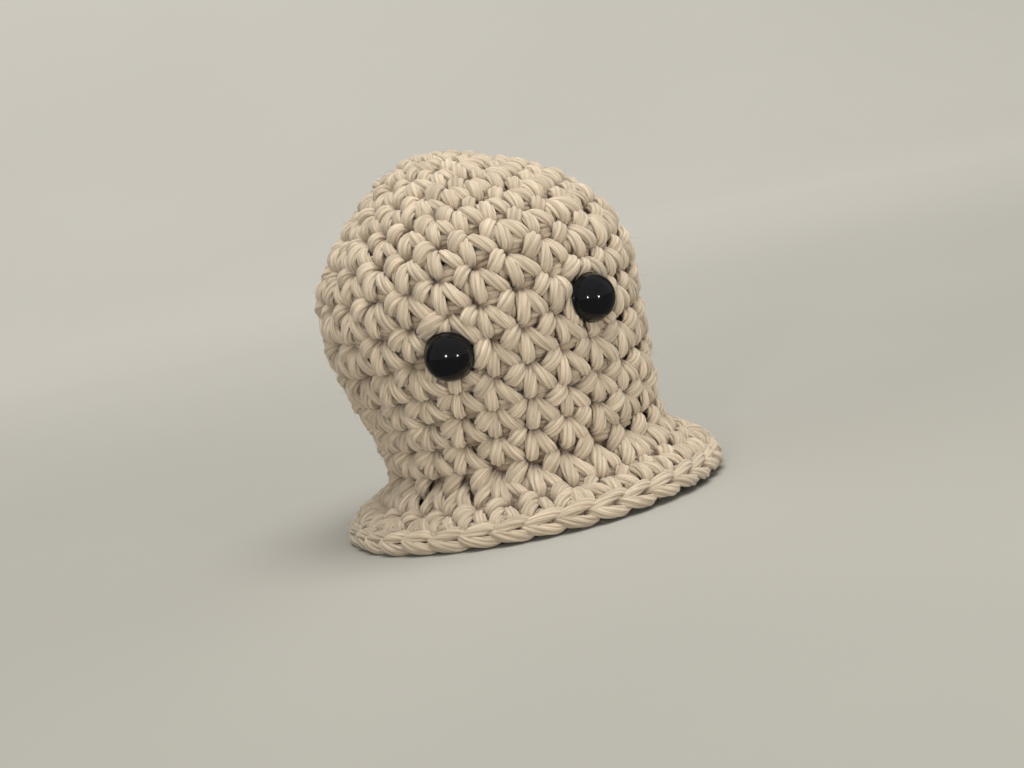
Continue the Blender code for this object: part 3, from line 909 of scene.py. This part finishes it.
def eye_profile():
    """Ribbed post, flat back, thin rim and dome of an 8 mm safety eye, written in mm."""
    profile = [(0.05, -11.0), (0.6, -11.0), (0.8, -10.9), (1.4, -9.8)]
    ribs, first_foot, rib_pitch = 5, -9.8, 1.6
    for rib in range(ribs):
        foot = first_foot + rib * rib_pitch
        profile += [(1.45, foot + 0.1), (1.7, foot + 0.5), (1.7, foot + 1.05), (1.45, foot + 1.5)]
    profile += [(1.4, -1.6), (1.4, -0.15), (1.55, 0.02), (3.75, 0.02), (3.93, 0.08)]
    profile += [(4.0, 0.22), (4.0, 0.42), (3.96, 0.52), (3.88, 0.58)]
    dome_radius, dome_base, dome_rise, steps = 3.84, 0.6, 3.6, 48
    for step in range(1, steps):
        angle = math.pi / 2 * step / steps
        profile.append((dome_radius * math.cos(angle), dome_base + dome_rise * math.sin(angle)))
    profile.append((0.02, dome_base + dome_rise))
    return [(radius * MM, height * MM) for radius, height in profile]


# The braided edge, and its links' knots: along the edge (links), angle about the edge's middle
# (degrees up from outwards), distance from it (mm), share of the yarn's radius, and how uneven
# each of these is.
LINK_COUNT = 36
LINK_UNEVENNESS = (0.04, 3, 0.08, 0.05)
# Taken from a link's reach to give the level that sets its painted shade.
LINK_SHADE_REACH = 2 * MM
EDGE_RADIUS = 0.0298
EDGE_HEIGHT = 0.0023
UPPER_LINK = [
    (-0.05, 10, -0.4, 0.72),
    (0.08, 22, 0.7, 0.86),
    (0.35, 40, 1.30, 0.94),
    (0.68, 58, 1.45, 0.96),
    (1.00, 76, 1.35, 0.92),
    (1.26, 90, 0.8, 0.82),
    (1.40, 98, -0.3, 0.70),
]
LOWER_LINK = [
    (-0.06, 8, -0.4, 0.72),
    (0.06, 0, 0.8, 0.90),
    (0.28, -14, 1.45, 0.98),
    (0.62, -30, 1.60, 1.00),
    (0.96, -46, 1.50, 0.94),
    (1.20, -58, 0.9, 0.82),
    (1.32, -68, -0.3, 0.70),
]


def braid_links(knots, first):
    """One strand of every link of the braided edge."""
    knots = np.array(knots)
    jitter = random_numbers.normal(size=(LINK_COUNT, 4)).clip(-2, 2) * LINK_UNEVENNESS
    width = 2 * np.pi / LINK_COUNT
    u = knots[:, 0] + jitter[:, 0:1]
    angle = np.radians(knots[:, 1] + jitter[:, 1:2])
    reach = (knots[:, 2] + jitter[:, 2:3]) * MM
    share = knots[:, 3] * (1 + jitter[:, 3:4])
    azimuth = first + width * np.arange(LINK_COUNT)[:, None] + u * width
    channels = np.stack([azimuth, np.broadcast_to(angle, azimuth.shape), reach, share], axis=-1)
    azimuth, angle, reach, share = np.moveaxis(smooth_path(channels, LINK_RINGS), -1, 0)
    radius = EDGE_RADIUS + reach * np.cos(angle)
    height = EDGE_HEIGHT + reach * np.sin(angle)
    paths = bent(radius, azimuth, height)
    outer = bent(radius + MM * np.cos(angle), azimuth, height + MM * np.sin(angle))
    outwards = unit(outer - paths)[:, LINK_RINGS // 2]
    return paths, share * YARN_RADIUS, outwards, reach - LINK_SHADE_REACH


def eye_plastic():
    """Polished black plastic with very faint moulding unevenness."""
    look = Look("eye_black")
    cloud = look.noise(look.where(), 900, 4)
    return look.shade({
        "Base Color": look.ramp(cloud, (0.0035, 0.0035, 0.0045), (0.007, 0.007, 0.008)),
        "Roughness": look.mapped(cloud, (0, 1), (0.05, 0.13)),
        "IOR": 1.5,
        "Specular IOR Level": 0.22,
    })


def washer_plastic():
    """Milky white polyethylene with fine flow marks."""
    look = Look("washer_white")
    flow = look.noise(look.where(), 700, 5)
    return look.shade({
        "Base Color": look.ramp(flow, (0.66, 0.66, 0.62), (0.80, 0.80, 0.77)),
        "Normal": look.bump(flow, 0.2, 0.05 * MM),
        "Roughness": 0.42,
        "Subsurface Weight": 0.1,
        "Subsurface Radius": (MM, MM, MM),
    })


def fibrefill():
    """White matted fibres."""
    look = Look("fibrefill")
    fibres = look.noise(look.where(), 500, 8, 1.5)
    return look.shade({
        "Base Color": look.ramp(fibres, (0.70, 0.70, 0.68), (0.90, 0.90, 0.88)),
        "Normal": look.bump(fibres, 0.8, 0.5 * MM),
        "Roughness": 1.0,
    })


# The mass of stuffing: its gap to the crown and the floor, the room for the fabric round it, its
# lumps (waves round, waves up, size), and the hollows behind the eyes: how far behind an eye's
# back the stuffing ends, how much farther inside their shoulder, and how wide and deep they are.
STUFFING_GAP = 0.0045
FABRIC_ROOM = 0.0052
STUFFING_LIFT = 1.2 * MM
STUFFING_LEAST_RADIUS = 1.2 * MM
STUFFING_FOOT_SHARE = 0.93
STUFFING_LUMPS = ((3, 2, 0.45), (5, 4, 0.35), (8, 7, 0.2), (13, 11, 0.12))
LUMP_DEPTH = 0.4
FULL_LUMPS_RADIUS = 0.008
HOLLOW_START = 0.0066
HOLLOW_DEPTH = 0.0022
HOLLOW_RADIUS = 0.0068
HOLLOW_SHOULDER = 0.0062
HOLLOW_SLOPE = 0.002
HOLLOW_REACH = 0.012


def stuffing_lumps(azimuth, climb):
    """Waves of several lengths round and up the stuffing, about one across."""
    lumps = np.zeros((len(climb), len(azimuth)))
    for waves, turns, size in STUFFING_LUMPS:
        phase = random_numbers.random(2) * 6.28
        across = np.sin(waves * azimuth[None, :] + phase[0])
        lumps += size * across * np.sin(turns * climb[:, None] + phase[1])
    return lumps


def stuffing_piece():
    """A crowned, lumpy, closed mass of fibrefill, hollowed for the eyes' posts and washers."""
    segments, steps = 72, 44
    heights = np.linspace(STUFFING_GAP, CROWN_HEIGHT - STUFFING_GAP, steps)
    raised = np.clip(heights + STUFFING_LIFT, NECK_HEIGHT, None)
    radius = np.maximum(outline_radius(raised) - FABRIC_ROOM, STUFFING_LEAST_RADIUS)
    radius[0] = radius[1] * STUFFING_FOOT_SHARE
    azimuth = np.linspace(0, 2 * np.pi, segments, endpoint=False)
    lumps = stuffing_lumps(azimuth, np.linspace(0, 3.14, steps))
    lumps = np.minimum(lumps * LUMP_DEPTH, 0) * MM
    ring_radius = radius[:, None] + lumps * np.clip(radius / FULL_LUMPS_RADIUS, 0, 1)[:, None]
    ring_azimuth = np.broadcast_to(azimuth, ring_radius.shape)
    ring_height = np.broadcast_to(heights[:, None], ring_radius.shape)
    rings = bent(ring_radius, ring_azimuth, ring_height)
    for origin, axis in EYES:
        along = (rings - origin) @ axis
        across = np.linalg.norm(rings - origin - along[..., None] * axis, axis=-1)
        deeper = np.clip((HOLLOW_SHOULDER - across) / HOLLOW_SLOPE, 0, 1)
        limit = -HOLLOW_START - HOLLOW_DEPTH * deeper
        near = (across < HOLLOW_RADIUS) & (along > -HOLLOW_REACH)
        sunk = np.where(near, np.minimum(along, limit), along)
        rings = rings + (sunk - along)[..., None] * axis
    faces = end_faces(steps, segments) + ring_faces(steps, segments)
    return add_mesh("stuffing_mass", rings.reshape(-1, 3).tolist(), faces)


def backdrop():
    """A floor that curves up into a wall behind the doll."""
    reach, rise, radius, half, steps = 0.60, 2.2, 0.55, 3.0, 24
    profile = [(-1.6, 0.0), (reach, 0.0)]
    for step in range(1, steps + 1):
        angle = math.pi / 2 * step / steps
        profile.append((reach + radius * math.sin(angle), radius * (1 - math.cos(angle))))
    profile.append((reach + radius, rise))
    vertices = [(side * half, y, z) for y, z in profile for side in (-1, 1)]
    faces = [(2 * k, 2 * k + 1, 2 * k + 3, 2 * k + 2) for k in range(len(profile) - 1)]
    sheet = add_mesh("backdrop", vertices, faces)
    sheet.data.materials.append(backdrop_material())


# The stage: the camera fitted to the photo, the world and the lamps.
AIM = Vector((0, 0, 0.030))
VIEW_AZIMUTH = math.radians(-12.8)
VIEW_ELEVATION = math.radians(6.3)
VIEW_ROLL = math.radians(-12.1)
VIEW_DISTANCE = 0.347
LENS = 73.1
SENSOR_WIDTH = 36
SHIFT_X, SHIFT_Y = 0.0118, -0.0553
WORLD_COLOR = (0.95, 0.97, 0.95, 1)
WORLD_STRENGTH = 0.48
SPOT_ANGLE = math.radians(16)
SPOT_BLEND = 0.4
SPOT_RADIUS = 0.021
SPOT_POWER = 1.5


def add_camera():
    """The camera, where the photo was taken from."""
    data = bpy.data.cameras.new("camera")
    camera = bpy.data.objects.new("camera", data)
    bpy.context.scene.collection.objects.link(camera)
    level = math.cos(VIEW_ELEVATION)
    back = Vector((
        math.sin(VIEW_AZIMUTH) * level,
        -math.cos(VIEW_AZIMUTH) * level,
        math.sin(VIEW_ELEVATION),
    ))
    looking = (-back).to_track_quat("-Z", "Y").to_matrix().to_4x4()
    placed = Matrix.Translation(AIM + back * VIEW_DISTANCE)
    camera.matrix_world = placed @ looking @ Matrix.Rotation(VIEW_ROLL, 4, "Z")
    data.lens = LENS
    data.sensor_width = SENSOR_WIDTH
    data.shift_x = SHIFT_X
    data.shift_y = SHIFT_Y
    data.clip_start = 0.01
    return camera


def add_world():
    """Even, pale light from all round."""
    world = bpy.data.worlds.new("world")
    bpy.context.scene.world = world
    world.use_nodes = True
    background = world.node_tree.nodes["Background"]
    background.inputs["Color"].default_value = WORLD_COLOR
    background.inputs["Strength"].default_value = WORLD_STRENGTH


def add_lamp(data, place):
    """A lamp that shines at the middle of the doll."""
    lamp = bpy.data.objects.new(data.name, data)
    bpy.context.scene.collection.objects.link(lamp)
    lamp.location = place
    lamp.rotation_mode = "QUATERNION"
    lamp.rotation_quaternion = (AIM - Vector(place)).to_track_quat("-Z", "Y")
    return lamp


def area_light(name, place, size, power):
    """A wide, round lamp with soft shadows."""
    data = bpy.data.lights.new(name, "AREA")
    data.shape = "DISK"
    data.size = size
    data.energy = power
    return add_lamp(data, place)


def spot_light(name, place):
    """A small lamp that both eyes mirror as a highlight."""
    data = bpy.data.lights.new(name, "SPOT")
    data.spot_size = SPOT_ANGLE
    data.spot_blend = SPOT_BLEND
    data.shadow_soft_size = SPOT_RADIUS
    data.energy = SPOT_POWER
    return add_lamp(data, place)


# The pieces, in the order in which they draw their random numbers.
cotton = cotton_material()
shade_sheet = shade_sheet_material()
layouts = spiral_rounds()
for number, layout in enumerate(layouts):
    name = f"round_{number + 1:02d}"
    last = number == len(layouts) - 1
    piece = crochet_round(number, layout, name, (spiral_place, on_fabric), last)
    dress(piece, cotton, "doll", "crochet_cotton", "crochet_shell")

shade_sheet_arcs = list(np.linspace(SHADE_SHEET_START, SHADE_SHEET_END, SHADE_SHEET_STEPS))
# A sheet of painted shade behind the fabric's stitches.
fabric_shade_sheet = turned_sheet("fabric_shade_sheet", shade_sheet_arcs, *SHADE_SHEET_DEPTHS)
dress(fabric_shade_sheet, shade_sheet, "doll", "crochet_cotton", "crochet_shell")

for number, layout in enumerate(place_rounds(DISC_STITCHES)):
    name = f"base_round_{number + 1}"
    piece = crochet_round(number, layout, name, (disc_place, on_underside))
    dress(piece, cotton, "doll", "crochet_cotton", "base_disc")
foot_layout = place_rounds([FOOT_STITCHES])[0]
foot = crochet_round(0, foot_layout, "foot_round", (foot_place, on_underside))
dress(foot, cotton, "doll", "crochet_cotton", "crochet_shell")

seam = tubes_to_mesh("seam_stitches", [sweep_group(whip_stitches())])
dress(seam, cotton, "doll", "sewing_cotton", "base_seam_yarn")

first_link = layouts[-1][2][0]
links = [sweep_group(braid_links(knots, first_link)) for knots in (UPPER_LINK, LOWER_LINK)]
braid = tubes_to_mesh("edge_braid", links)
dress(braid, cotton, "doll", "crochet_cotton", "crochet_shell")
fuzz = tubes_to_mesh("yarn_fuzz", [fuzz_fibres()])
dress(fuzz, cotton, "doll", "crochet_cotton", "crochet_shell")

washer_material = washer_plastic()
for side in SIDES:
    washer = bpy.data.objects[f"washer_{side}"]
    washer.data.materials.clear()
    washer.data.materials.append(washer_material)

stuffing_mass = stuffing_piece()
dress(stuffing_mass, fibrefill(), "doll", "fibrefill", "stuffing")

# A sheet of painted shade behind the underside's stitches.
brim_shade_sheet = turned_piece("brim_shade_sheet", BRIM_SHADE_SHEET, (0, 0, 0), (0, 0, 1))
dress(brim_shade_sheet, shade_sheet, "doll", "crochet_cotton", "crochet_shell", "base_disc")

eye_material = eye_plastic()
for side, joint in zip(SIDES, EYE_JOINTS):
    dome = turned_piece(f"eye_{side}_dome", eye_profile(), joint["pos_m"], joint["axis"])
    dress(dome, eye_material, f"eye_{side}_body", "eye_plastic", f"eye_{side}")

bpy.context.scene.camera = add_camera()
backdrop()
add_world()
key = area_light("key", (0.10, -0.16, 0.92), size=0.9, power=9.4)
key.visible_glossy = False
spot_light("lamp_left", (-0.16, -0.33, 0.09))
spot_light("lamp_right", (0.15, -0.35, 0.04))
bpy.context.scene.view_settings.view_transform = "Standard"
